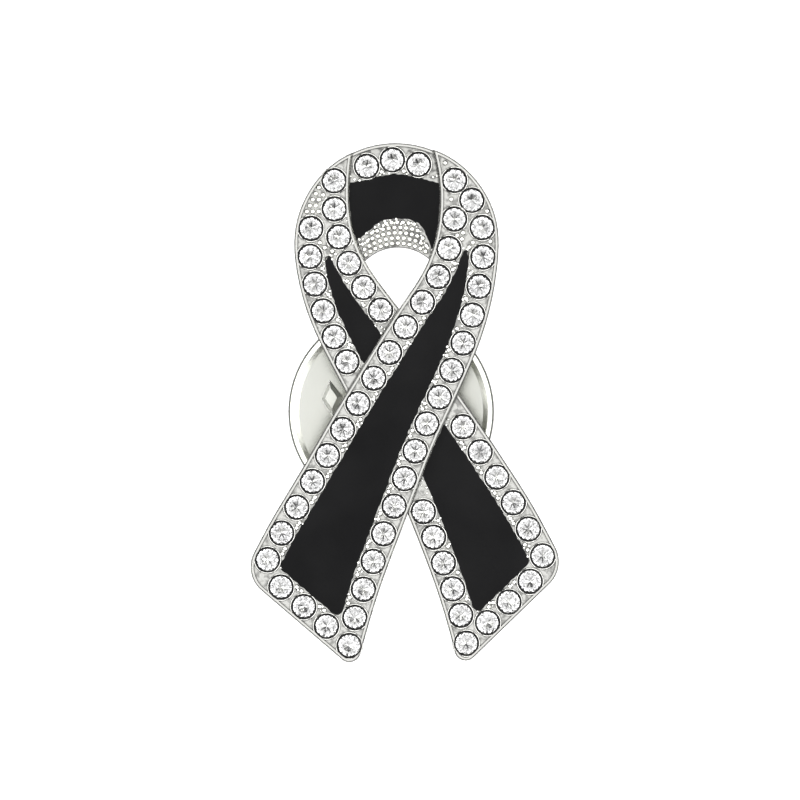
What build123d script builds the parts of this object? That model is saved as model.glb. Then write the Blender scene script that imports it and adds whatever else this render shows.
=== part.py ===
from build123d import *
import math
import os

os.makedirs("parts", exist_ok=True)

# Awareness ribbon pin, lying face up on its clutch. Millimetres.
# X runs across the ribbon, Y from its legs to its loop, Z out of its face.
# The origin is on the tack post's axis, at the flat back of the casting.

# Ribbon casting, silver plated
ribbon_width = 19.0
ribbon_height = 32.0
panel_height = 1.5
back_height = 1.8
front_height = 2.4
bevel_width = 0.08
bevel_depth = 0.08
rim_width = 0.2
field_drop = 0.06
corner_radius = 1.9
tip_radius = 0.7

# Round crystals in blind seats
stone_diameter = 1.32
stone_gap = 0.1
crown_height = 0.27
girdle_height = 0.04
pavilion_height = 0.52
table_share = 0.56
girdle_drop = 0.07
seat_floor_gap = 0.05
seat_wall = 0.05
seat_bite = 0.02
stone_pitch = 1.8
row_slack = 0.35

# Enamel in shallow wells
enamel_wall = 0.12
enamel_depth = 0.45
enamel_gap = 0.03
enamel_drop = 0.07
fold_wall = 0.05
enamel_corner = 0.3
enamel_point = 0.2

# Granulation and small grains, cast in relief
bead_radius = 0.165
bead_space = 0.03
bead_rows = 5
row_lean = 0.9
grain_radius = 0.17
grain_space = 0.03
grain_share = 0.85
relief_sink = 0.07
shoulder_share = 0.27

# Tack post, soldered to the casting
post_radius = 0.525
post_length = 9.0
post_point = 0.9
post_tip_radius = 0.12
post_pad_radius = 1.5
post_pad_height = 0.25
groove_width = 0.5
groove_depth = 0.12
groove_from_tip = 2.4

# Clutch: a stamped dish with a butterfly spring behind it
dish_radius = 6.45
dish_stock = 0.4
dish_skirt = 0.6
dish_drop = 0.25
hub_radius = 2.0
hub_rise = 0.3
lip_edge = 0.12
lip_slope = 0.23
lip_fall = 0.09
lip_flat = 0.05
well_slope = 0.28
well_fall = 0.05
nub_count = 3
nub_circle = 3.85
nub_turn = 167
nub_lean = 18
nub_length = 2.75
nub_width = 1.6
nub_top_length = 1.3
nub_top_width = 0.75
nub_rise = 0.32
clutch_height = 6.0
post_clearance = 0.05
spring_stock = 0.35
spring_width = 5.0
spring_base = 6.4
spring_rise = 2.775
spring_gap = 0.05
wing_span = 10.6
wing_flat = 1.4
wing_corner = 1.2

stone_radius = stone_diameter / 2
seat_radius = stone_radius + stone_gap
row_inset = seat_radius + rim_width - seat_bite
border_width = row_inset + seat_radius + enamel_wall
far = 2 * (ribbon_width + ribbon_height)
edge_samples = 13

# Edges of the ribbon, listed downwards, and two edges across the panel, listed to the right.
# Columns: x as a share of the ribbon's width, y as a share of its height, both from the post.
edge_table = {
    "front_inner": [
        (0.136, 0.504),
        (0.157, 0.437),
        (0.154, 0.365),
        (0.120, 0.288),
        (0.032, 0.203),
        (-0.094, 0.084),
        (-0.201, -0.020),
        (-0.300, -0.122),
        (-0.372, -0.192),
        (-0.434, -0.260),
        (-0.479, -0.310),
        (-0.513, -0.347),
    ],
    "front_outer": [
        (0.136, 0.504),
        (0.249, 0.462),
        (0.326, 0.399),
        (0.347, 0.325),
        (0.334, 0.237),
        (0.290, 0.139),
        (0.220, 0.040),
        (0.126, -0.083),
        (0.045, -0.210),
        (-0.026, -0.321),
        (-0.081, -0.427),
        (-0.113, -0.492),
        (-0.129, -0.527),
    ],
    "back_outer": [
        (-0.126, 0.499),
        (-0.214, 0.463),
        (-0.288, 0.400),
        (-0.314, 0.323),
        (-0.298, 0.248),
        (-0.253, 0.163),
        (-0.162, 0.056),
        (-0.049, -0.073),
        (0.065, -0.210),
        (0.126, -0.308),
        (0.172, -0.381),
        (0.201, -0.454),
        (0.227, -0.519),
    ],
    "back_inner": [
        (-0.126, 0.499),
        (-0.136, 0.427),
        (-0.124, 0.351),
        (-0.072, 0.278),
        (0.025, 0.199),
        (0.149, 0.094),
        (0.272, -0.010),
        (0.385, -0.110),
        (0.473, -0.194),
        (0.534, -0.262),
        (0.583, -0.315),
    ],
    "well_top": [
        (-0.165, 0.495),
        (-0.137, 0.498),
        (-0.099, 0.502),
        (0.001, 0.514),
        (0.106, 0.506),
        (0.161, 0.498),
        (0.184, 0.495),
    ],
    "strip_top": [
        (-0.137, 0.322),
        (-0.107, 0.333),
        (-0.068, 0.353),
        (-0.042, 0.365),
        (0.010, 0.373),
        (0.053, 0.372),
        (0.087, 0.366),
        (0.105, 0.354),
        (0.120, 0.334),
        (0.134, 0.312),
    ],
}

# Straight ends of the two legs, in the same columns.
leg_ends = {
    "front_end": [(-0.434, -0.335), (-0.149, -0.480)],
    "back_end": [(0.527, -0.323), (0.249, -0.483)],
}

# Arcs across the panel at the loop's top, in the same columns.
panel_arcs = {
    "panel_top": [(-0.126, 0.499), (0.016, 0.518), (0.136, 0.504)],
    "panel_row": [(-0.126, 0.491), (0.005, 0.515), (0.136, 0.496)],
    "panel_arch": [(-0.087, 0.290), (0.026, 0.318), (0.126, 0.294)],
}

# Rows of crystals along the edges.
# Columns: edge, share of the row where the first crystal lies, the same for the last.
crystal_rows = {
    "panel": [("panel_row", 0.105, 0.886)],
    "front": [
        ("front_inner", 0.070, 0.070),
        ("front_outer", 0.103, 0.881),
        ("front_inner", 0.146, 0.910),
        ("front_end", 0.162, 0.936),
    ],
    "back": [
        ("back_inner", 0.061, 0.345),
        ("back_outer", 0.144, 0.393),
        ("back_inner", 0.632, 0.937),
        ("back_outer", 0.691, 0.886),
        ("back_end", 0.15, 0.894),
    ],
}

# Side of each edge on which its strand lies
inward = {
    "front_inner": (1, 0),
    "front_outer": (-1, 0),
    "back_outer": (1, 0),
    "back_inner": (-1, 0),
    "front_end": (0, 1),
    "back_end": (0, 1),
    "panel_top": (0, -1),
    "panel_row": (0, -1),
    "well_top": (0, -1),
    "panel_arch": (0, 1),
    "strip_top": (0, 1),
}


def place(share):
    return Vector(share[0] * ribbon_width, share[1] * ribbon_height)


def base_curve(name):
    if name in edge_table:
        return Spline(*[place(row) for row in edge_table[name]])
    if name in leg_ends:
        return Line(*[place(row) for row in leg_ends[name]])
    return ThreePointArc(*[place(row) for row in panel_arcs[name]])


def normal_in(name, curve, share):
    # Unit normal of an edge, on the side where the metal lies
    along = curve.tangent_at(share)
    across = Vector(-along.Y, along.X)
    side = Vector(*inward[name])
    return across if across.dot(side) > 0 else across * -1


def inset_curve(name, inset):
    curve = base_curve(name)
    if name in leg_ends:
        shift = normal_in(name, curve, 0.5) * inset
        return Line((curve @ 0) + shift, (curve @ 1) + shift)
    points = []
    for step in range(edge_samples):
        share = step / (edge_samples - 1)
        points.append(curve.position_at(share) + normal_in(name, curve, share) * inset)
    return Spline(*points)


def side_of(name, inset=0.0, outward=False):
    # All of the plane on one side of an edge, as one large face
    curve = inset_curve(name, inset)
    reach = ribbon_height / 2
    first = curve.position_at(0) - curve.tangent_at(0) * reach
    last = curve.position_at(1) + curve.tangent_at(1) * reach
    away = Vector(*inward[name]) * (-far if outward else far)
    if name in leg_ends:
        return make_face(Polyline(first, last, last + away, first + away, close=True))
    border = [
        Line(first, curve @ 0),
        curve,
        Line(curve @ 1, last),
        Polyline(last, last + away, first + away, first),
    ]
    return make_face(border)


def common(names, inset=0.0):
    area = side_of(names[0], inset)
    for name in names[1:]:
        area = area & side_of(name, inset)
    return area


front_names = ["front_inner", "front_outer", "front_end"]
back_names = ["back_inner", "back_outer", "back_end"]
outer_corner_way = {"front_end": Axis((0, 0, 0), (-1, 0, 0)), "back_end": Axis((0, 0, 0), (1, 0, 0))}


def strand_plate(names, inset, height, corner, tip):
    # A strand as a plate, with the outer corner and the tip of its leg rounded
    plate = extrude(common(names, inset), height)
    uprights = plate.edges().filter_by(Axis.Z)
    plate = fillet(uprights.sort_by(outer_corner_way[names[-1]])[-1], corner)
    uprights = plate.edges().filter_by(Axis.Z)
    return fillet(uprights.sort_by(Axis.Y)[0], tip)


def bevelled(plate):
    top = plate.faces().sort_by(Axis.Z)[-1]
    return chamfer(top.edges(), bevel_width, bevel_depth, reference=top)


def rimmed_strand(names, height):
    # A bevelled strand whose face is sunk inside a narrow raised rim
    plate = bevelled(strand_plate(names, 0, height, corner_radius, tip_radius))
    face = strand_plate(names, rim_width, front_height, corner_radius - rim_width, tip_radius - rim_width)
    return plate - Pos(0, 0, height - field_drop) * face


between_folds = side_of("front_inner", 0, outward=True) & side_of("back_inner", 0, outward=True)
panel_plan = between_folds & common(["panel_top", "panel_arch"])
panel_rim = extrude(panel_plan - side_of("panel_top", rim_width), panel_height)
panel_edge = panel_rim.faces().sort_by(Axis.Z)[-1].edges().sort_by(Axis.Y)[-1]
casting = rimmed_strand(front_names, front_height) + rimmed_strand(back_names, back_height)
casting += extrude(panel_plan & side_of("panel_top", bevel_width), panel_height - field_drop)
casting += chamfer(panel_edge, bevel_width)


def blunted(field):
    # The narrow upper end of a well, rounded as far as the mould's tool reaches
    return fillet(field.edges().filter_by(Axis.Z).sort_by(Axis.Y)[-1], enamel_point)


def front_field(gap, height):
    inset = border_width + gap
    field = strand_plate(front_names, inset, height, enamel_corner, enamel_corner)
    return blunted(field & extrude(common(front_names), height))


def back_fields(gap, height):
    # The back strand's enamel is in two parts, one on each side of the strand on top
    inset = border_width + gap
    field = strand_plate(back_names, inset, height, enamel_corner, enamel_corner)
    field = blunted(field & extrude(common(back_names), height))
    return field - extrude(common(front_names, -fold_wall - gap), height)


def top_field(gap, height):
    field = side_of("well_top", border_width + gap) & side_of("strip_top", gap)
    for name in ("front_inner", "back_inner"):
        field = field & side_of(name, -fold_wall - gap, outward=True)
    return extrude(field, height)


def field_of(name, gap, height):
    if name == "enamel_top":
        return top_field(gap, height)
    if name == "enamel_front":
        return front_field(gap, height)
    parts = back_fields(gap, height).solids().sort_by(Axis.Y)
    return parts[-1] if name == "enamel_left" else parts[0]


# Columns: enamel piece, height of the strand that it lies in
enamel_levels = [
    ("enamel_top", panel_height),
    ("enamel_left", back_height),
    ("enamel_front", front_height),
    ("enamel_right", back_height),
]
enamel_pieces = {}
for name, level in enamel_levels:
    floor = level - enamel_depth
    casting -= Pos(0, 0, floor) * field_of(name, 0, front_height)
    fill = field_of(name, enamel_gap, enamel_depth - enamel_gap - enamel_drop)
    enamel_pieces[name] = Pos(0, 0, floor + enamel_gap) * fill


def row_shares(edge, first, last):
    # Even steps along the inset edge, as near to the pitch as whole steps allow
    span = (last - first) * inset_curve(edge, row_inset).length
    steps = int(span / stone_pitch + row_slack)
    return [first + (last - first) * step / max(steps, 1) for step in range(steps + 1)]


def on_row(edge, share, across=0.0):
    curve = inset_curve(edge, row_inset)
    spot = curve.position_at(share * curve.length, PositionMode.LENGTH)
    return spot + normal_in(edge, curve, share) * across


def clear_of(spot, others, distance):
    return all((spot - other).length > distance for other, _ in others)


# A crystal is set only where its seat clears those already cut
seat_spacing = 2 * seat_radius + seat_wall
field_level = {
    "panel": panel_height - field_drop,
    "back": back_height - field_drop,
    "front": front_height - field_drop,
}
stones = []
for strand, rows in crystal_rows.items():
    for edge, first, last in rows:
        for share in row_shares(edge, first, last):
            spot = on_row(edge, share)
            if clear_of(spot, stones, seat_spacing):
                stones.append((spot, strand))


def covers(area, spot):
    return any(face.is_inside(spot) for face in area.faces())


# Grains and beads stay off the seats, off each other and off the strand on top
grain_clear = seat_radius + grain_radius + grain_space
under_front = common(front_names, -grain_radius - grain_space)
grains = []
beads = []


def add_grain(spot, strand):
    if strand != "front" and covers(under_front, spot):
        return
    if clear_of(spot, stones, grain_clear) and clear_of(spot, grains, 2 * grain_radius):
        grains.append((spot, strand))


# Grains beside the enamel between each two crystals of a row, two where they fit and else one
for strand, rows in crystal_rows.items():
    for edge, first, last in rows:
        shares = row_shares(edge, first, last)
        apart = (grain_radius + grain_space / 2) / inset_curve(edge, row_inset).length
        for here, ahead in zip(shares, shares[1:]):
            for side in (-1, 1, 0):
                share = (here + ahead) / 2 + side * apart
                add_grain(on_row(edge, share, grain_share * seat_radius), strand)

well_plans = [field_of(name, 0, front_height).faces().sort_by(Axis.Z)[0] for name, _ in enamel_levels]


def off_wells(spot):
    return all(plan.distance_to(Vertex(spot.X, spot.Y, 0)) > grain_radius + grain_space for plan in well_plans)


# Grains fill the bare metal of the loop's shoulders, in staggered rows
grain_pitch = 2 * grain_radius + grain_space
shoulder_low = shoulder_share * ribbon_height
fill_rows = int((ribbon_height / 2 - shoulder_low) / grain_pitch)
fill_columns = int(ribbon_width / 2 / grain_pitch)
for strand, names in (("back", back_names), ("front", front_names)):
    bare = common(names, rim_width + grain_radius)
    for row in range(fill_rows):
        for column in range(-fill_columns, fill_columns + 1):
            x = (column + (row % 2) / 2) * grain_pitch
            spot = Vector(x, shoulder_low + row * grain_pitch)
            if covers(bare, spot) and off_wells(spot):
                add_grain(spot, strand)

# Granulation beads in rows that follow the arch, between the panel's opening and its enamel
bead_edge = bead_radius + bead_space
bead_pitch = 2 * bead_radius + bead_space
bead_field = common(["panel_arch"], bead_edge) - common(["strip_top"], -bead_edge)
for name in ("front_inner", "back_inner"):
    bead_field = bead_field & side_of(name, -bead_edge, outward=True)
for row in range(bead_rows):
    curve = inset_curve("panel_arch", bead_edge + bead_space + row * bead_pitch * row_lean)
    columns = int(curve.length / bead_pitch)
    for column in range(columns + 1):
        share = (column + (row % 2) / 2) / (columns + 1 / 2)
        spot = curve.position_at(share)
        if covers(bead_field, spot):
            beads.append((spot, "panel"))

relief = []
for spots, radius in ((grains, grain_radius), (beads, bead_radius)):
    for spot, strand in spots:
        relief.append(Pos(spot.X, spot.Y, field_level[strand] - relief_sink) * Sphere(radius))


def crystal():
    # Table of 8 sides, 24 crown triangles, 16 girdle and 16 pavilion facets
    half = girdle_height / 2
    table_z = half + crown_height
    table_radius = stone_radius * table_share
    upper = []
    lower = []
    table = []
    for step in range(16):
        turn = math.radians(22.5 * step)
        x = stone_radius * math.cos(turn)
        y = stone_radius * math.sin(turn)
        upper.append(Vector(x, y, half))
        lower.append(Vector(x, y, -half))
    for step in range(8):
        turn = math.radians(45 * step)
        table.append(Vector(table_radius * math.cos(turn), table_radius * math.sin(turn), table_z))
    culet = Vector(0, 0, -half - pavilion_height)
    outlines = [table]
    for step in range(8):
        here = table[step]
        ahead = table[(step + 1) % 8]
        start = upper[2 * step]
        middle = upper[(2 * step + 1) % 16]
        end = upper[(2 * step + 2) % 16]
        outlines.append([here, middle, ahead])
        outlines.append([here, start, middle])
        outlines.append([ahead, middle, end])
    for step in range(16):
        after = (step + 1) % 16
        outlines.append([lower[step], lower[after], upper[after], upper[step]])
        outlines.append([lower[after], lower[step], culet])
    faces = [Face(Wire.make_polygon(outline)) for outline in outlines]
    return Solid(Shell(faces))


seat_depth = girdle_drop + girdle_height / 2 + pavilion_height + seat_floor_gap
seats = []
for spot, strand in stones:
    floor = field_level[strand] - seat_depth
    seat = Cylinder(seat_radius, front_height, align=(Align.CENTER, Align.CENTER, Align.MIN))
    seats.append(Pos(spot.X, spot.Y, floor) * seat)
casting -= seats

casting += relief


def turned(profile):
    # A round piece about the post's axis. Profile columns: radius, height.
    points = [Vector(radius, 0, height) for radius, height in profile]
    return revolve(make_face(Polyline(*points, close=True)), Axis.Z)


# Post with a solder pad, a groove for the clutch's jaws and a blunt point
groove_top = -post_length + groove_from_tip
groove_radius = post_radius - groove_depth
casting += turned([
    (0, panel_height / 2),
    (post_radius, panel_height / 2),
    (post_pad_radius, 0),
    (post_pad_radius, -post_pad_height / 2),
    (post_radius, -post_pad_height),
    (post_radius, groove_top),
    (groove_radius, groove_top - groove_depth),
    (groove_radius, groove_top - groove_width + groove_depth),
    (post_radius, groove_top - groove_width),
    (post_radius, -post_length + post_point),
    (post_tip_radius, -post_length),
    (0, -post_length),
])

# Dish of the clutch, from its hole outwards and back along its rear face
hole_radius = post_radius + post_clearance
lip_outside = dish_radius - lip_edge - lip_slope
lip_inside = lip_outside - lip_flat
well_radius = lip_inside - well_slope
hub_foot = hub_radius + hub_rise
dish = turned([
    (hole_radius, hub_rise - dish_drop),
    (hub_radius, hub_rise - dish_drop),
    (hub_foot, -dish_drop),
    (well_radius, -well_fall),
    (lip_inside, 0),
    (lip_outside, 0),
    (dish_radius - lip_edge, -lip_fall),
    (dish_radius, -lip_fall - lip_edge),
    (dish_radius, -dish_skirt),
    (dish_radius - dish_stock, -dish_skirt),
    (well_radius, -well_fall - dish_stock),
    (hub_foot, -dish_drop - dish_stock),
    (hole_radius, -dish_drop - dish_stock),
])


def diamond(length, width):
    corners = [(width / 2, 0), (0, length / 2), (-width / 2, 0), (0, -length / 2)]
    return make_face(Polyline(*corners, close=True))


# Pressed nubs that grip the cloth, four-sided, spaced evenly round the hub
nub_top = Pos(0, 0, nub_rise) * diamond(nub_top_length, nub_top_width)
nub = loft([diamond(nub_length, nub_width), nub_top])
for step in range(nub_count):
    turn = nub_turn + 360 * step / nub_count
    dish += Rot(0, 0, turn) * Pos(nub_circle, 0, -dish_drop) * Rot(0, 0, nub_lean) * nub

# Butterfly spring, one bent strip. Columns: half span, height below the dish's rim.
base_level = -dish_drop - dish_stock - spring_gap - spring_stock / 2
jaw_level = base_level - spring_rise
wing_level = -clutch_height + spring_stock / 2
half_strip = [
    (spring_base / 2, base_level),
    (hole_radius + spring_stock / 2, jaw_level),
    (wing_span / 2 - wing_flat, wing_level),
    (wing_span / 2, wing_level),
]


def strip_run(start, end):
    # One straight run of the strip's edge view, with a round bend at its start
    length = math.dist(start, end)
    turn = math.degrees(math.atan2(end[1] - start[1], end[0] - start[0]))
    bar = Rectangle(length, spring_stock, align=(Align.MIN, Align.CENTER))
    return Pos(*start) * (Rot(0, 0, turn) * bar + Circle(spring_stock / 2))


runs = [strip_run(here, ahead) for here, ahead in zip([(0, base_level)] + half_strip, half_strip)]
half_view = Sketch() + runs
edge_view = half_view + mirror(half_view, Plane.YZ)
spring = extrude(Plane.XZ * edge_view, spring_width / 2, both=True)
wing_corners = spring.edges().filter_by(Axis.Z).group_by(Axis.X)
spring = fillet(wing_corners[0] + wing_corners[-1], wing_corner)
spring -= Cylinder(hole_radius, 4 * clutch_height)

# The clutch sits where its jaws meet the middle of the post's groove
clutch_place = Pos(0, 0, groove_top - groove_width / 2 - jaw_level)
loose_crystal = crystal()
set_crystals = {"front": [], "back": []}
for spot, strand in stones:
    holder = "front" if strand == "front" else "back"
    level = field_level[strand] - girdle_drop
    set_crystals[holder].append(Pos(spot.X, spot.Y, level) * loose_crystal)

export_step(casting, "parts/ribbon_casting.step")
for name, piece in enamel_pieces.items():
    export_step(piece, "parts/" + name + ".step")
for holder, solids in set_crystals.items():
    export_step(Compound(solids), "parts/crystals_" + holder + "_strand.step")
export_step(clutch_place * dish, "parts/clutch_dish.step")
export_step(clutch_place * spring, "parts/clutch_spring.step")
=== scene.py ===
import bmesh
import bpy
import math
from mathutils import Matrix, Vector, noise


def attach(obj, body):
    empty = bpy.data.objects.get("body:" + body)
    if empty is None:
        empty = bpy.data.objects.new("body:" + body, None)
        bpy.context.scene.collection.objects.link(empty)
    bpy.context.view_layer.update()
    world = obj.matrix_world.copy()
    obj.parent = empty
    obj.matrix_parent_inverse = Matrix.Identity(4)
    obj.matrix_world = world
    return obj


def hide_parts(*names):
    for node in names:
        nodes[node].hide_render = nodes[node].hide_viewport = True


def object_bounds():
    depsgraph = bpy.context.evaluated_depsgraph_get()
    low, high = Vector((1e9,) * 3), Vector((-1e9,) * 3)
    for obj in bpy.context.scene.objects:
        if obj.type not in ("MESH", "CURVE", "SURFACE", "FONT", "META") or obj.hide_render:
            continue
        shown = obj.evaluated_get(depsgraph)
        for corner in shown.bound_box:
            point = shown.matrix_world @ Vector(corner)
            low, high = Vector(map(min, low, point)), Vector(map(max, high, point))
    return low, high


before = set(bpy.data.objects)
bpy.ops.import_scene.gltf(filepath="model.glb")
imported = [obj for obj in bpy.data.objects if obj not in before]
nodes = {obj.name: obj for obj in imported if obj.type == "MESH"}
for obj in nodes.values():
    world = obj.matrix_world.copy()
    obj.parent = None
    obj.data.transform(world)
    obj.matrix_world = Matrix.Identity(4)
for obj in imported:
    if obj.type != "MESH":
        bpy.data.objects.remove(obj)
cad_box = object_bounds()
mm = 0.001

# Studio table, light and camera.
# The pin lies face up on its clutch on a white sweep, under four soft panels set round the lens,
# and is seen from straight above, as on a catalogue page.
table_level = cad_box[0].z
table_half = 2.5


def mesh_of(name, corners, faces):
    shape = bpy.data.meshes.new(name)
    shape.from_pydata(corners, [], faces)
    return shape


def shown(name, data):
    # A new object in the scene that holds a mesh, a lamp or a lens
    thing = bpy.data.objects.new(name, data)
    bpy.context.scene.collection.objects.link(thing)
    return thing


def new_finish(name):
    # A new material, its node tree and its shader
    finish = bpy.data.materials.new(name)
    finish.use_nodes = True
    return finish, finish.node_tree, finish.node_tree.nodes["Principled BSDF"]


def add(tree, kind, **settings):
    # A new node, where each setting names one of its properties or else one of its inputs
    node = tree.nodes.new(kind)
    for key, value in settings.items():
        if hasattr(node, key):
            setattr(node, key, value)
        else:
            node.inputs[key.replace("_", " ")].default_value = value
    return node


def join(tree, source, into):
    # Sets a plain number on an input, or links a socket to it
    if isinstance(source, float):
        into.default_value = source
    else:
        tree.links.new(source, into)


def ramp(tree, source, stops):
    # The colour of a ramp with stops of (place, grey or colour)
    node = tree.nodes.new("ShaderNodeValToRGB")
    join(tree, source, node.inputs["Fac"])
    marks = node.color_ramp.elements
    while len(marks) < len(stops):
        marks.new(0.5)
    for mark, (place, tone) in zip(marks, stops):
        mark.position = place
        mark.color = (tone, tone, tone, 1) if isinstance(tone, float) else (*tone, 1)
    return node.outputs["Color"]


def clouds(tree, scale, detail):
    # The value of a noise that runs through the whole piece
    cloud = add(tree, "ShaderNodeTexNoise", Scale=scale, Detail=detail)
    join(tree, add(tree, "ShaderNodeTexCoord").outputs["Object"], cloud.inputs["Vector"])
    return cloud.outputs["Fac"]


def cast_or_seen(tree, cast, seen):
    # One shader for the light cast on the pin and another for what the lens sees beside it
    either = add(tree, "ShaderNodeMixShader")
    join(tree, add(tree, "ShaderNodeLightPath").outputs["Is Camera Ray"], either.inputs["Fac"])
    join(tree, cast.outputs[0], either.inputs[1])
    join(tree, seen.outputs[0], either.inputs[2])
    return either.outputs[0]


table_mesh = mesh_of(
    "table",
    [(-table_half, -table_half, table_level), (table_half, -table_half, table_level),
     (table_half, table_half, table_level), (-table_half, table_half, table_level)],
    [(0, 1, 2, 3)])
table = shown("table", table_mesh)
paper, tree, shader = new_finish("white_paper")
shader.inputs["Roughness"].default_value = 0.9
shader.inputs["Specular IOR Level"].default_value = 0.1
fibre = ramp(tree, clouds(tree, scale=900.0, detail=4.0), [(0.3, 0.86), (0.7, 0.9)])
join(tree, fibre, shader.inputs["Base Color"])
join(tree, fibre, shader.inputs["Emission Color"])
shader.inputs["Emission Strength"].default_value = 0.5
shade = add(tree, "ShaderNodeBsdfDiffuse", Color=(0.2, 0.2, 0.2, 1))
join(tree, cast_or_seen(tree, shade, shader), tree.nodes["Material Output"].inputs["Surface"])
table_mesh.materials.append(paper)

tent = bpy.data.worlds.new("light_tent")
bpy.context.scene.world = tent
tent.use_nodes = True
tree = tent.node_tree
tree.nodes.clear()
ways = add(tree, "ShaderNodeSeparateXYZ")
join(tree, add(tree, "ShaderNodeTexCoord").outputs["Generated"], ways.inputs[0])
sky = ramp(tree, ways.outputs["Z"], [(0.0, 0.02), (0.5, 0.03), (0.93, 0.08), (0.955, 0.3), (0.975, 0.9)])
cloth = add(tree, "ShaderNodeBackground")
join(tree, sky, cloth.inputs["Color"])
page = add(tree, "ShaderNodeBackground", Color=(0.84, 0.85, 0.86, 1))
join(tree, cast_or_seen(tree, cloth, page), add(tree, "ShaderNodeOutputWorld").inputs["Surface"])

# Columns: bearing in degrees, degrees off the zenith, height and width in metres, radiance
panels = [
    (2, 43, 0.50, 0.78, 2.3),
    (92, 42, 0.42, 0.34, 2.4),
    (181, 43, 0.50, 0.82, 2.5),
    (266, 44, 0.40, 0.36, 2.4),
]
panel_range = 0.5
for count, (bearing, lean, tall, wide, radiance) in enumerate(panels):
    lamp = bpy.data.lights.new("panel_%d" % count, "AREA")
    lamp.shape = "RECTANGLE"
    lamp.size = tall
    lamp.size_y = wide
    lamp.energy = radiance * math.pi * tall * wide
    turn = Matrix.Rotation(math.radians(bearing), 4, "Z") @ Matrix.Rotation(math.radians(lean), 4, "Y")
    shown("panel_%d" % count, lamp).matrix_world = turn @ Matrix.Translation((0, 0, panel_range))

view_centre = (0.554 * mm, 0.738 * mm)
view_span = 49.2 * mm
face_level = 2.0 * mm
focal_length_mm = 200
lens = bpy.data.cameras.new("camera")
lens.lens = focal_length_mm
lens.clip_start = 0.005
camera = shown("camera", lens)
camera.location = (*view_centre, face_level + view_span * lens.lens / lens.sensor_width)
bpy.context.scene.camera = camera
bpy.context.scene.view_settings.view_transform = "Standard"

# Ribbon casting.
# One zinc alloy casting, silver plated and buffed: two strands and the panel across the loop,
# with the post soldered on behind. Its recesses and edges are painted darker than the rims, as painted
# shade.
silver_tone = (0.93, 0.93, 0.89)
# The colour of the painted shade in recesses and along edges
recess_shade_tone = (0.05, 0.05, 0.045)
field_levels = (1.44 * mm, 1.74 * mm, 2.34 * mm)
field_margin = 0.02 * mm
upward = 0.9


def new_group(name, inputs, outputs):
    # An empty shader group with inputs of (label, value) and outputs of (label, socket kind)
    group = bpy.data.node_groups.new(name, "ShaderNodeTree")
    for label, value in inputs:
        socket = group.interface.new_socket(label, in_out="INPUT", socket_type="NodeSocketFloat")
        socket.default_value = value
    for label, kind in outputs:
        group.interface.new_socket(label, in_out="OUTPUT", socket_type=kind)
    return group, group.nodes.new("NodeGroupInput"), group.nodes.new("NodeGroupOutput")


def worked(tree, operation, *sources):
    # The result of one sum on sockets and plain numbers
    node = add(tree, "ShaderNodeMath", operation=operation)
    for source, into in zip(sources, node.inputs):
        join(tree, source, into)
    return node.outputs[0]


def place_on(tree):
    # Where a point of the piece lies, parted in X, Y and Z
    place = add(tree, "ShaderNodeSeparateXYZ")
    join(tree, add(tree, "ShaderNodeTexCoord").outputs["Object"], place.inputs[0])
    return place.outputs


# Plating with painted shade: softened edges with a thin painted dark line, painted shade in the recesses, a
# fine cast and buffed skin
bevel_and_shade_samples = 6
worn_plating, plating_in, plating_out = new_group(
    "worn_plating",
    [("Edge Radius", 0.1 * mm), ("Recess Reach", 0.3 * mm), ("Grain Scale", 9000.0), ("Smear Scale", 900.0)],
    [("Edge", "NodeSocketFloat"), ("Recess", "NodeSocketFloat"), ("Grain", "NodeSocketFloat"),
     ("Smear", "NodeSocketFloat"), ("Soft Normal", "NodeSocketVector")])
tree = worn_plating
soft = add(tree, "ShaderNodeBevel", samples=bevel_and_shade_samples)
join(tree, plating_in.outputs["Edge Radius"], soft.inputs["Radius"])
join(tree, soft.outputs["Normal"], plating_out.inputs["Soft Normal"])
# Edge: a mask for the thin painted dark line along convex edges
match = add(tree, "ShaderNodeVectorMath", operation="DOT_PRODUCT")
join(tree, soft.outputs["Normal"], match.inputs[0])
join(tree, add(tree, "ShaderNodeNewGeometry").outputs["True Normal"], match.inputs[1])
join(tree, ramp(tree, match.outputs["Value"], [(0.95, 1.0), (0.99, 0.0)]), plating_out.inputs["Edge"])
# Recess: a mask for painted shade in the recesses
hollow = add(tree, "ShaderNodeAmbientOcclusion", samples=bevel_and_shade_samples)
join(tree, plating_in.outputs["Recess Reach"], hollow.inputs["Distance"])
join(tree, ramp(tree, hollow.outputs["AO"], [(0.58, 1.0), (0.94, 0.0)]), plating_out.inputs["Recess"])
where = add(tree, "ShaderNodeTexCoord")
for label, detail in (("Grain", 3.0), ("Smear", 2.0)):
    cloud = add(tree, "ShaderNodeTexNoise", Detail=detail)
    join(tree, where.outputs["Object"], cloud.inputs["Vector"])
    join(tree, plating_in.outputs[label + " Scale"], cloud.inputs["Scale"])
    join(tree, cloud.outputs["Fac"], plating_out.inputs[label])


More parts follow.
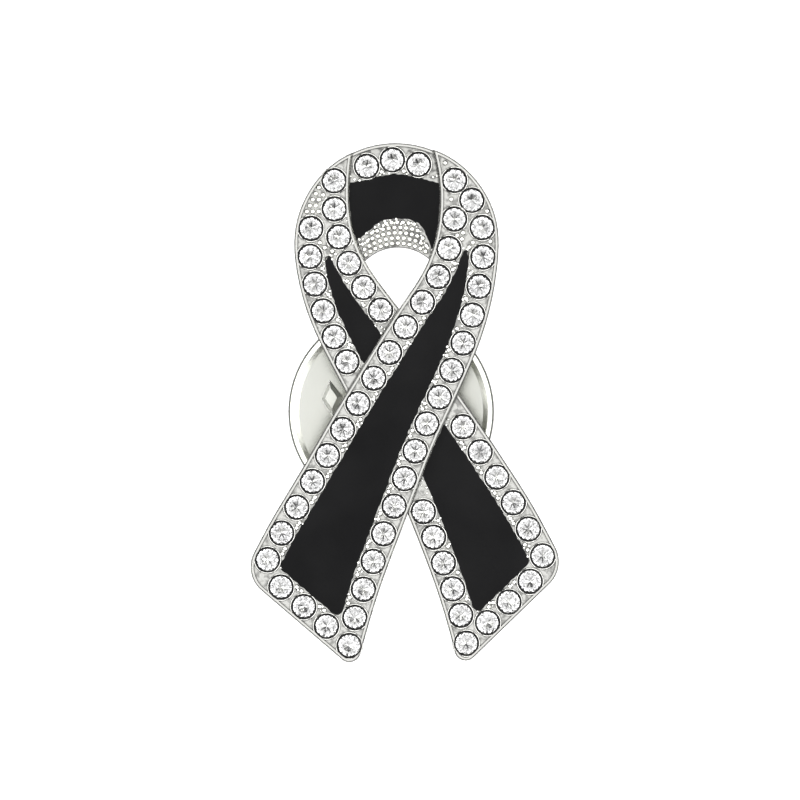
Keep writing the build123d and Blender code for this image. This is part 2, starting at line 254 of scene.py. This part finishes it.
def plated(name, tone, shaded_tone, smooth, rough, grain_depth, **shade_and_wear):
    # A plated metal with the plating group set by the given settings, from smooth to rough in cloudy smears.
    # Its colour is painted darker in recesses and along edges, as painted shade
    finish, tree, shader = new_finish(name)
    shader.inputs["Metallic"].default_value = 1.0
    shade_and_wear_group = add(tree, "ShaderNodeGroup", node_tree=worn_plating)
    for key, value in shade_and_wear.items():
        shade_and_wear_group.inputs[key.replace("_", " ")].default_value = value
    # Painted shade: the colour darkens towards the darker tone in recesses and along edges
    painted_dark = worked(tree, "MAXIMUM", shade_and_wear_group.outputs["Recess"], shade_and_wear_group.outputs["Edge"])
    join(tree, ramp(tree, painted_dark, [(0.0, tone), (1.0, shaded_tone)]), shader.inputs["Base Color"])
    smears = worked(tree, "MULTIPLY", shade_and_wear_group.outputs["Smear"], shade_and_wear_group.outputs["Grain"])
    gloss = add(tree, "ShaderNodeMapRange", From_Min=0.12, From_Max=0.4, To_Min=smooth, To_Max=rough)
    join(tree, smears, gloss.inputs["Value"])
    join(tree, gloss.outputs["Result"], shader.inputs["Roughness"])
    bump = add(tree, "ShaderNodeBump", Strength=1.0, Distance=grain_depth)
    join(tree, shade_and_wear_group.outputs["Grain"], bump.inputs["Height"])
    join(tree, shade_and_wear_group.outputs["Soft Normal"], bump.inputs["Normal"])
    join(tree, bump.outputs["Normal"], shader.inputs["Normal"])
    return finish


def patina_and_shade(finish, levels, tone, most, least):
    # A thin dark patina left in clouds on the level fields of a casting; laid heavily, it is also painted
    # shade
    tree = finish.node_tree
    coat = tree.nodes["Principled BSDF"].inputs["Base Color"]
    height = place_on(tree)["Z"]
    laid = 0.0
    for level in levels:
        laid = worked(tree, "MAXIMUM", laid, worked(tree, "COMPARE", height, level, field_margin))
    facing = add(tree, "ShaderNodeSeparateXYZ")
    join(tree, add(tree, "ShaderNodeNewGeometry").outputs["True Normal"], facing.inputs[0])
    laid = worked(tree, "MULTIPLY", laid, worked(tree, "GREATER_THAN", facing.outputs["Z"], upward))
    share = ramp(tree, clouds(tree, scale=2600.0, detail=3.0), [(0.38, most), (0.53, least)])
    patina_and_shade_mix = add(tree, "ShaderNodeMix", data_type="RGBA")
    join(tree, worked(tree, "MULTIPLY", laid, share), patina_and_shade_mix.inputs["Factor"])
    join(tree, coat.links[0].from_socket, patina_and_shade_mix.inputs[6])
    patina_and_shade_mix.inputs[7].default_value = (*tone, 1)
    join(tree, patina_and_shade_mix.outputs[2], coat)


def dress(piece, finish):
    piece.data.materials.clear()
    piece.data.materials.append(finish)


silver_plate = plated("silver_plate", silver_tone, recess_shade_tone, smooth=0.07, rough=0.22,
                      grain_depth=0.005 * mm, Edge_Radius=0.03 * mm, Recess_Reach=0.14 * mm)
patina_and_shade(silver_plate, field_levels[1:], tone=(0.07, 0.07, 0.068), most=0.55, least=0.08)
# On the lower panel it is laid heavier, as painted shade where the panel lies in shade
patina_and_shade(silver_plate, field_levels[:1], tone=(0.06, 0.06, 0.058), most=0.75, least=0.18)
dress(nodes["ribbon_casting"], silver_plate)

# Enamel.
# Soft black enamel, run into the four wells and stoned level just under the rims.
# It has crept a little over the edges of the wells before it set.
enamel_names = ("enamel_top", "enamel_left", "enamel_front", "enamel_right")
deep_black, thin_black = (0.0045, 0.0045, 0.0048), (0.0075, 0.0075, 0.0078)
enamel, tree, shader = new_finish("black_enamel")
shader.inputs["Specular IOR Level"].default_value = 0.11
pool = clouds(tree, scale=260.0, detail=2.0)
join(tree, ramp(tree, pool, [(0.35, deep_black), (0.7, thin_black)]), shader.inputs["Base Color"])
haze = ramp(tree, clouds(tree, scale=1500.0, detail=4.0), [(0.3, 0.05), (0.75, 0.16)])
join(tree, haze, shader.inputs["Roughness"])
bump = add(tree, "ShaderNodeBump", Strength=0.4, Distance=0.01 * mm)
join(tree, pool, bump.inputs["Height"])
join(tree, bump.outputs["Normal"], shader.inputs["Normal"])
for name in enamel_names:
    dress(nodes[name], enamel)

flow_step = 0.06 * mm
flow_least, flow_most = 0.02 * mm, 0.1 * mm
flow_wave, flow_swing = 0.28 * mm, 1.8
flow_under, flow_over = 0.03 * mm, 0.02 * mm
lid_normal = 0.99
tip_depth = 0.09 * mm
tip_rises = {"enamel_left": 0.2 * mm, "enamel_front": 0.28 * mm}


def top_outline(node):
    # The corners round the upper face of a flat piece, in order
    skin = bmesh.new()
    skin.from_mesh(node.data)
    bmesh.ops.remove_doubles(skin, verts=skin.verts, dist=0.0001 * mm)
    top = max(corner.co.z for corner in skin.verts) - 0.001 * mm
    lid = {face for face in skin.faces
           if face.normal.z > lid_normal and face.calc_center_median().z > top}
    ahead = {}
    for face in lid:
        for loop in face.loops:
            if not any(other in lid for other in loop.edge.link_faces if other is not face):
                ahead[loop.vert] = loop.link_loop_next.vert
    start = min(ahead, key=lambda vert: tuple(vert.co))
    outline = [start.co.copy()]
    corner = ahead[start]
    while corner is not start:
        outline.append(corner.co.copy())
        corner = ahead[corner]
    skin.free()
    return outline


def even_steps(outline, step):
    # The same closed outline with corners at even distances
    runs = [(after - here).length for here, after in zip(outline, outline[1:] + outline[:1])]
    total = sum(runs)
    count = int(total / step)
    points = []
    run, passed = 0, 0.0
    for index in range(count):
        goal = index * total / count
        while passed + runs[run] < goal:
            passed += runs[run]
            run += 1
        points.append(outline[run].lerp(outline[(run + 1) % len(outline)], (goal - passed) / runs[run]))
    return points


def drawn_out(rim, rise):
    # The upper end of a narrow pool, drawn out round to fill the tip of its well
    level = max(point.y for point in rim)
    end = [point for point in rim if point.y > level - tip_depth]
    middle = sum(point.x for point in end) / len(end)
    half = max(abs(point.x - middle) for point in end)
    for point in end:
        point.y += rise * (1 - ((point.x - middle) / half) ** 2)


def flowed(node, rise):
    # A thin skin of enamel that has crept unevenly over the edge of its well
    points = even_steps(top_outline(node), flow_step)
    rim = []
    for index, point in enumerate(points):
        along = points[(index + 1) % len(points)] - points[index - 1]
        outward = Vector((along.y, -along.x, 0)).normalized()
        share = 0.5 + 0.5 * max(-1.0, min(1.0, flow_swing * noise.noise(point / flow_wave)))
        rim.append(point + outward * (flow_least + (flow_most - flow_least) * share))
    if rise:
        drawn_out(rim, rise)
    low = [(x, y, z - flow_under) for x, y, z in rim]
    high = [(x, y, z + flow_over) for x, y, z in rim]
    count = len(rim)
    faces = [tuple(range(count, 2 * count)), tuple(range(count - 1, -1, -1))]
    faces += [(step, (step + 1) % count, count + (step + 1) % count, count + step) for step in range(count)]
    return low + high, faces


corners, faces = [], []
for name in enamel_names:
    skin, sides = flowed(nodes[name], tip_rises.get(name, 0))
    faces += [tuple(len(corners) + index for index in side) for side in sides]
    corners += skin
enamel_flow = shown("enamel_flow", mesh_of("enamel_flow", corners, faces))
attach(enamel_flow, "pin")
dress(enamel_flow, enamel)

# Crystals.
# Round brilliants of clear glass, cut by machine, one in each blind seat.
# They were dropped in by hand, so each is turned its own way and leans a little.
glass, tree, shader = new_finish("cut_glass")
shader.inputs["Transmission Weight"].default_value = 1.0
shader.inputs["IOR"].default_value = 1.56
shader.inputs["Base Color"].default_value = (1.0, 1.0, 1.0, 1)
film = ramp(tree, clouds(tree, scale=4000.0, detail=3.0), [(0.5, 0.0), (0.8, 0.03)])
join(tree, film, shader.inputs["Roughness"])

stone_radius = 0.66 * mm
table_radius = 0.37 * mm
star_radius = 0.54 * mm
lower_radius = 0.16 * mm
crown = 0.27 * mm
half_girdle = 0.02 * mm
pavilion = 0.52 * mm
stone_lean = math.radians(2.5)
cuts = 8
sides = 2 * cuts
half_facet = math.cos(math.pi / cuts)
pavilion_count = sides + cuts + 1


def stone_spots(node):
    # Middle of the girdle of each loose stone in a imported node
    shells = bmesh.new()
    shells.from_mesh(node.data)
    bmesh.ops.remove_doubles(shells, verts=shells.verts, dist=0.001 * mm)
    left = set(shells.verts)
    spots = []
    while left:
        fresh = [left.pop()]
        shell = []
        while fresh:
            corner = fresh.pop()
            shell.append(corner.co.copy())
            for edge in corner.link_edges:
                other = edge.other_vert(corner)
                if other in left:
                    left.remove(other)
                    fresh.append(other)
        middle = (Vector(map(min, zip(*shell))) + Vector(map(max, zip(*shell)))) / 2
        girdle = min(corner.z for corner in shell) + pavilion + half_girdle
        spots.append((round(middle.x, 7), round(middle.y, 7), round(girdle, 7)))
    shells.free()
    return sorted(spots)


def part_of(name, corners, faces):
    # A loose model, kept out of the scene
    return bpy.data.objects.new(name, mesh_of(name, corners, faces))


def ring(count, radius, level, turn=0.0):
    # Corners on a circle, turned by a share of one step
    steps = [2 * math.pi * (step + turn) / count for step in range(count)]
    return [(radius * math.cos(way), radius * math.sin(way), level) for way in steps]


def pavilion_points(grown_by):
    # The girdle, the tips of the lower halves and the culet, each scaled out from the girdle's middle
    tip_level = -half_girdle - pavilion * (1 - lower_radius * half_facet / stone_radius)
    points = ring(sides, stone_radius, -half_girdle) + ring(cuts, lower_radius, tip_level, 0.5)
    points.append((0, 0, -half_girdle - pavilion))
    return [tuple(part * grown_by for part in point) for point in points]


def pavilion_faces(first, outward):
    # 8 mains and 16 lower halves on points listed from first
    tips = first + sides
    culet = tips + cuts
    faces = []
    for step in range(cuts):
        tip, before = tips + step, tips + (step - 1) % cuts
        main, between, after = first + 2 * step, first + 2 * step + 1, first + (2 * step + 2) % sides
        faces += [(main, before, culet, tip), (between, main, tip), (after, between, tip)]
    return faces if outward else [face[::-1] for face in faces]


def cut_stone():
    # Round brilliant: table, 8 stars, 8 kites, 16 upper halves, girdle and the pavilion
    star_share = (star_radius * half_facet - table_radius) / (stone_radius - table_radius)
    corners = pavilion_points(1.0) + ring(sides, stone_radius, half_girdle)
    corners += ring(cuts, table_radius, half_girdle + crown)
    corners += ring(cuts, star_radius, half_girdle + crown * (1 - star_share), 0.5)
    rim = pavilion_count
    flat = rim + sides
    stars = flat + cuts
    faces = [tuple(range(flat, stars))] + pavilion_faces(0, True)
    for step in range(cuts):
        here, ahead = flat + step, flat + (step + 1) % cuts
        star, before = stars + step, stars + (step - 1) % cuts
        main, between, after = rim + 2 * step, rim + 2 * step + 1, rim + (2 * step + 2) % sides
        faces += [(here, star, ahead), (here, before, main, star)]
        faces += [(star, main, between), (star, between, after)]
    for step in range(sides):
        after = (step + 1) % sides
        faces.append((step, after, rim + after, rim + step))
    return part_of("cut_stone", corners, faces)


def new_tree(name, inputs):
    # A Geometry Nodes tree with named inputs of (label, socket kind)
    tree = bpy.data.node_groups.new(name, "GeometryNodeTree")
    tree.interface.new_socket("Geometry", in_out="INPUT", socket_type="NodeSocketGeometry")
    for label, kind in inputs:
        tree.interface.new_socket(label, in_out="INPUT", socket_type=kind)
    tree.interface.new_socket("Geometry", in_out="OUTPUT", socket_type="NodeSocketGeometry")
    return tree, tree.nodes.new("NodeGroupInput").outputs, tree.nodes.new("NodeGroupOutput").inputs


def drawn(tree, seed, least, most):
    # A random number for each point or face
    draw = add(tree, "FunctionNodeRandomValue", data_type="FLOAT")
    join(tree, least, draw.inputs[2])
    join(tree, most, draw.inputs[3])
    join(tree, seed, draw.inputs["Seed"])
    return draw.outputs[1]


def loose_shape(tree, model):
    # The mesh of a model given to the tree
    loose = add(tree, "GeometryNodeObjectInfo")
    join(tree, model, loose.inputs["Object"])
    return loose.outputs["Geometry"]


def copies(tree, points, model, **ways):
    # Real copies of a model on points, turned and scaled by ways
    placed = add(tree, "GeometryNodeInstanceOnPoints")
    join(tree, points, placed.inputs["Points"])
    join(tree, loose_shape(tree, model), placed.inputs["Instance"])
    for label, way in ways.items():
        join(tree, way, placed.inputs[label])
    real = add(tree, "GeometryNodeRealizeInstances")
    join(tree, placed.outputs[0], real.inputs[0])
    return real.outputs[0]


def coated(tree, shape, finish, result):
    # The last step of each tree
    coat = add(tree, "GeometryNodeSetMaterial")
    join(tree, shape, coat.inputs["Geometry"])
    join(tree, finish, coat.inputs["Material"])
    join(tree, coat.outputs[0], result["Geometry"])


def grown(name, base, tree, **values):
    # The plain mesh that a tree makes of a base object
    bpy.context.scene.collection.objects.link(base)
    growth = base.modifiers.new("growth", "NODES")
    growth.node_group = tree
    for socket in tree.interface.items_tree:
        key = socket.name.replace(" ", "_")
        if socket.in_out == "INPUT" and key in values:
            growth[socket.identifier] = values[key]
    bpy.context.view_layer.update()
    shape = bpy.data.meshes.new_from_object(base.evaluated_get(bpy.context.evaluated_depsgraph_get()))
    base.modifiers.clear()
    bpy.data.objects.remove(base)
    shape.name = name
    return shown(name, shape)


setting, given, result = new_tree("setting", [
    ("Piece", "NodeSocketObject"), ("Lean", "NodeSocketFloat"), ("Seed", "NodeSocketInt"),
    ("Finish", "NodeSocketMaterial")])
tree = setting
tilt = add(tree, "ShaderNodeCombineXYZ")
for axis, offset in (("X", 0.0), ("Y", 1.0)):
    backward = worked(tree, "MULTIPLY", given["Lean"], -1.0)
    seed = worked(tree, "ADD", given["Seed"], offset)
    join(tree, drawn(tree, seed, backward, given["Lean"]), tilt.inputs[axis])
join(tree, drawn(tree, given["Seed"], 0.0, 2 * math.pi), tilt.inputs["Z"])
marked = add(tree, "GeometryNodeStoreNamedAttribute", data_type="FLOAT", domain="FACE", Name="facet_chance")
models = copies(tree, given["Geometry"], given["Piece"], Rotation=tilt.outputs[0])
join(tree, models, marked.inputs["Geometry"])
join(tree, drawn(tree, given["Seed"], 0.0, 1.0), marked.inputs["Value"])
coated(tree, marked.outputs[0], given["Finish"], result)

spots = stone_spots(nodes["crystals_front_strand"]) + stone_spots(nodes["crystals_back_strand"])


def in_each_seat(name, model, lean, finish):
    # One seed for all, so that a stone and its foil lean and turn together
    return grown(name, part_of("seat_marks", spots, []), setting,
                 Piece=model, Lean=lean, Seed=7, Finish=finish)


crystals = in_each_seat("crystals", cut_stone(), stone_lean, glass)
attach(crystals, "pin")
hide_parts("crystals_front_strand", "crystals_back_strand")

# Foil cups.
# The mirror foil on the back of each crystal, put on before the stone is set.
# It is crinkled in places, and behind some facets it is painted near black, as painted dark reflections in
# the stones.
foil, tree, shader = new_finish("mirror_foil")
shader.inputs["Metallic"].default_value = 1.0
crinkle = clouds(tree, scale=3500.0, detail=3.0)
silvering = ramp(tree, crinkle, [(0.3, (0.8, 0.8, 0.77)), (0.45, (0.98, 0.98, 0.94))])
facet_chance = add(tree, "ShaderNodeAttribute", attribute_name="facet_chance").outputs["Fac"]
# Painted dark reflections: the foil behind some facets is near black
painted_dark_facets = add(tree, "ShaderNodeMix", data_type="RGBA", blend_type="MULTIPLY")
painted_dark_facets.inputs["Factor"].default_value = 1.0
join(tree, silvering, painted_dark_facets.inputs[6])
join(tree, ramp(tree, facet_chance, [(0.44, 0.02), (0.46, 1.0)]), painted_dark_facets.inputs[7])
join(tree, painted_dark_facets.outputs[2], shader.inputs["Base Color"])
join(tree, ramp(tree, crinkle, [(0.3, 0.1), (0.6, 0.01)]), shader.inputs["Roughness"])
foil_inside, foil_outside = 1.015, 1.035


def foil_cup():
    # A closed thin skin just off the pavilion
    corners = pavilion_points(foil_inside) + pavilion_points(foil_outside)
    faces = pavilion_faces(0, False) + pavilion_faces(pavilion_count, True)
    for step in range(sides):
        after = (step + 1) % sides
        faces.append((after, step, pavilion_count + step, pavilion_count + after))
    return part_of("foil_cup", corners, faces)


foil_cups = in_each_seat("foil_cups", foil_cup(), stone_lean, foil)
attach(foil_cups, "pin")

# Painted gap shade.
# A matt near-black ring, painted shade, fills the gap round each girdle and laps over the edge of the seat.
# It shows as a thin black line round the stone, where the gap lies in shade.
seat_radius = 0.76 * mm
girdle_drop = 0.07 * mm
gap_shade_top, gap_shade_foot, gap_shade_lap = -0.018 * mm, -0.05 * mm, 0.035 * mm
gap_shade_profile = [
    (stone_radius + 0.001 * mm, gap_shade_top),
    (seat_radius - 0.02 * mm, gap_shade_top + 0.01 * mm),
    (seat_radius - 0.003 * mm, girdle_drop + 0.012 * mm),
    (seat_radius + gap_shade_lap, girdle_drop + 0.006 * mm),
    (seat_radius + gap_shade_lap, girdle_drop - 0.01 * mm),
    (seat_radius - 0.003 * mm, gap_shade_foot),
    (stone_radius + 0.03 * mm, gap_shade_foot),
]
ring_steps = 32


def turned_ring(name, profile):
    # A closed ring with a profile of (radius, level), listed outwards over the top and back below
    corners = [corner for radius, level in profile for corner in ring(ring_steps, radius, level)]
    faces = []
    for row in range(len(profile)):
        inner, outer = row * ring_steps, (row + 1) % len(profile) * ring_steps
        for step in range(ring_steps):
            after = (step + 1) % ring_steps
            faces.append((inner + step, outer + step, outer + after, inner + after))
    return part_of(name, corners, faces)


# A matt near-black finish for the painted shade in the seat gaps
gap_shade_finish, tree, shader = new_finish("dark_glue")
shader.inputs["Specular IOR Level"].default_value = 0.2
gap_shade_mottle = clouds(tree, scale=3000.0, detail=3.0)
join(tree, ramp(tree, gap_shade_mottle, [(0.35, 0.008), (0.7, 0.03)]), shader.inputs["Base Color"])
join(tree, ramp(tree, gap_shade_mottle, [(0.3, 0.6), (0.7, 0.8)]), shader.inputs["Roughness"])
glue_lines = in_each_seat("glue_lines", turned_ring("glue_line", gap_shade_profile), 0.0, gap_shade_finish)
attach(glue_lines, "pin")

# Seat collars.
# A low collar of cast metal stands round each seat, plated and buffed with the ribbon,
# and frames the black ring of painted shade.
collar_rise = 0.045 * mm
collar_foot = girdle_drop - 0.02 * mm
collar_inner, collar_outer = seat_radius + 0.03 * mm, seat_radius + 0.105 * mm
collar_profile = [
    (collar_inner, collar_foot),
    (collar_inner + 0.01 * mm, girdle_drop + 0.7 * collar_rise),
    ((collar_inner + collar_outer) / 2, girdle_drop + collar_rise),
    (collar_outer - 0.015 * mm, girdle_drop + 0.6 * collar_rise),
    (collar_outer, collar_foot),
]
# Its colour is painted darker in recesses and along edges, as painted shade
collar_silver = plated("collar_silver", silver_tone, recess_shade_tone, smooth=0.06, rough=0.2,
                       grain_depth=0.004 * mm, Edge_Radius=0.01 * mm, Recess_Reach=0.08 * mm)
seat_collars = in_each_seat("seat_collars", turned_ring("seat_collar", collar_profile), 0.0, collar_silver)
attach(seat_collars, "pin")

# Granulation.
# Fine shot of plated metal on the bare fields beside the enamel, cast with the ribbon,
# smaller and less even than the grains that hold the stones.
densest = 2e8
shot_tilt, shot_turn = 0.25, 6.283
shot_sides = 8
shot_foot, shot_shoulder, shot_top = -0.3, 0.42, 0.75
shoulder_radius = 0.72
level_normal = 0.999


def loose_copy(name, pieces, kept=lambda face: True):
    # The faces of some nodes that are kept, as one loose object
    skin = bmesh.new()
    for piece in pieces:
        skin.from_mesh(piece.data)
    off = [face for face in skin.faces if not kept(face)]
    bmesh.ops.delete(skin, geom=off, context="FACES")
    shape = bpy.data.meshes.new(name)
    skin.to_mesh(shape)
    skin.free()
    return bpy.data.objects.new(name, shape)


def on_a_field(face):
    # Level metal at the height of one of the casting's fields
    height = face.calc_center_median().z
    near = min(abs(height - level) for level in field_levels) <= field_margin
    return near and face.normal.z >= level_normal


def shot():
    # One low dome of unit radius with a closed foot
    corners = ring(shot_sides, 1.0, shot_foot) + ring(shot_sides, shoulder_radius, shot_shoulder, 0.5)
    corners.append((0, 0, shot_top))
    faces = [tuple(range(shot_sides - 1, -1, -1))]
    for step in range(shot_sides):
        after = (step + 1) % shot_sides
        upper, beyond = shot_sides + step, shot_sides + after
        faces += [(step, after, upper), (upper, after, beyond), (upper, beyond, 2 * shot_sides)]
    return part_of("shot", corners, faces)


def distance_to(tree, model):
    # How far a point lies from the faces of a model
    near = add(tree, "GeometryNodeProximity", target_element="FACES")
    join(tree, loose_shape(tree, model), near.inputs[0])
    return near.outputs["Distance"]


granulation, given, result = new_tree("granulation", [
    ("Grain", "NodeSocketObject"), ("Keep Off", "NodeSocketObject"), ("Clearance", "NodeSocketFloat"),
    ("Beside", "NodeSocketObject"), ("Nearest", "NodeSocketFloat"), ("Reach", "NodeSocketFloat"),
    ("Spacing", "NodeSocketFloat"), ("Least", "NodeSocketFloat"), ("Most", "NodeSocketFloat"),
    ("Seed", "NodeSocketInt"), ("Finish", "NodeSocketMaterial")])
tree = granulation
spread = add(tree, "GeometryNodeDistributePointsOnFaces", distribute_method="POISSON", Density_Max=densest)
join(tree, given["Geometry"], spread.inputs["Mesh"])
join(tree, given["Spacing"], spread.inputs["Distance Min"])
join(tree, given["Seed"], spread.inputs["Seed"])
# A place is unfit close to a stone, on the thin wall of a well, or far from the enamel
to_well = distance_to(tree, given["Beside"])
unfit = worked(tree, "LESS_THAN", distance_to(tree, given["Keep Off"]), given["Clearance"])
unfit = worked(tree, "MAXIMUM", unfit, worked(tree, "GREATER_THAN", to_well, given["Reach"]))
unfit = worked(tree, "MAXIMUM", unfit, worked(tree, "LESS_THAN", to_well, given["Nearest"]))
sown = add(tree, "GeometryNodeDeleteGeometry", domain="POINT")
join(tree, spread.outputs["Points"], sown.inputs["Geometry"])
join(tree, unfit, sown.inputs["Selection"])
turn = add(tree, "FunctionNodeRandomValue", data_type="FLOAT_VECTOR")
turn.inputs[0].default_value = (-shot_tilt, -shot_tilt, 0.0)
turn.inputs[1].default_value = (shot_tilt, shot_tilt, shot_turn)
join(tree, given["Seed"], turn.inputs["Seed"])
grains = copies(tree, sown.outputs["Geometry"], given["Grain"], Rotation=turn.outputs[0],
                Scale=drawn(tree, given["Seed"], given["Least"], given["Most"]))
coated(tree, grains, given["Finish"], result)

# Its colour is painted darker in hollows and along edges, as painted shade
shot_silver = plated("shot_silver", silver_tone, (0.2, 0.2, 0.19), smooth=0.05, rough=0.16,
                     grain_depth=0.003 * mm, Edge_Radius=0.01 * mm)
fields = loose_copy("bare_fields", [nodes["ribbon_casting"]], on_a_field)
stones = loose_copy("set_stones", [nodes["crystals_front_strand"], nodes["crystals_back_strand"]])
wells = loose_copy("enamel_wells", [nodes[name] for name in enamel_names])
fine_grains = grown("fine_grains", fields, granulation, Grain=shot(), Keep_Off=stones, Clearance=0.22 * mm,
                    Beside=wells, Nearest=0.085 * mm, Reach=0.5 * mm, Spacing=0.25 * mm,
                    Least=0.07 * mm, Most=0.12 * mm, Seed=11, Finish=shot_silver)
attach(fine_grains, "pin")

# Clutch.
# A stamped dish with pressed nubs and a bent spring strip behind it, of brass, nickel plated and polished.
# The nubs stand above the dish's well, and the punch leaves them matt.
# Its colour is painted darker in recesses and along edges, as painted shade
nickel = plated("nickel_plate", (0.87, 0.88, 0.82), (0.42, 0.42, 0.4), smooth=0.19, rough=0.26,
                grain_depth=0.0005 * mm, Edge_Radius=0.04 * mm, Recess_Reach=0.3 * mm,
                Grain_Scale=5000.0, Smear_Scale=400.0)
well_slope = 0.0576
well_middle = -3.582 * mm
nub_reach = 5.4 * mm
nub_matt = 0.12
# The dish's well is a shallow cone, and what stands above it near the post is a nub
tree = nickel.node_tree
place = place_on(tree)
across = add(tree, "ShaderNodeCombineXYZ")
join(tree, place["X"], across.inputs["X"])
join(tree, place["Y"], across.inputs["Y"])
from_post = add(tree, "ShaderNodeVectorMath", operation="LENGTH")
join(tree, across.outputs[0], from_post.inputs[0])
above = worked(tree, "MULTIPLY_ADD", from_post.outputs["Value"], -well_slope, place["Z"])
raised = add(tree, "ShaderNodeMapRange", From_Min=well_middle + 0.01 * mm, From_Max=well_middle + 0.03 * mm)
join(tree, above, raised.inputs["Value"])
near_post = worked(tree, "LESS_THAN", from_post.outputs["Value"], nub_reach)
punched = worked(tree, "MULTIPLY", raised.outputs["Result"], near_post)
roughness = tree.nodes["Principled BSDF"].inputs["Roughness"]
join(tree, worked(tree, "MULTIPLY_ADD", punched, nub_matt, roughness.links[0].from_socket), roughness)
dress(nodes["clutch_dish"], nickel)
dress(nodes["clutch_spring"], nickel)
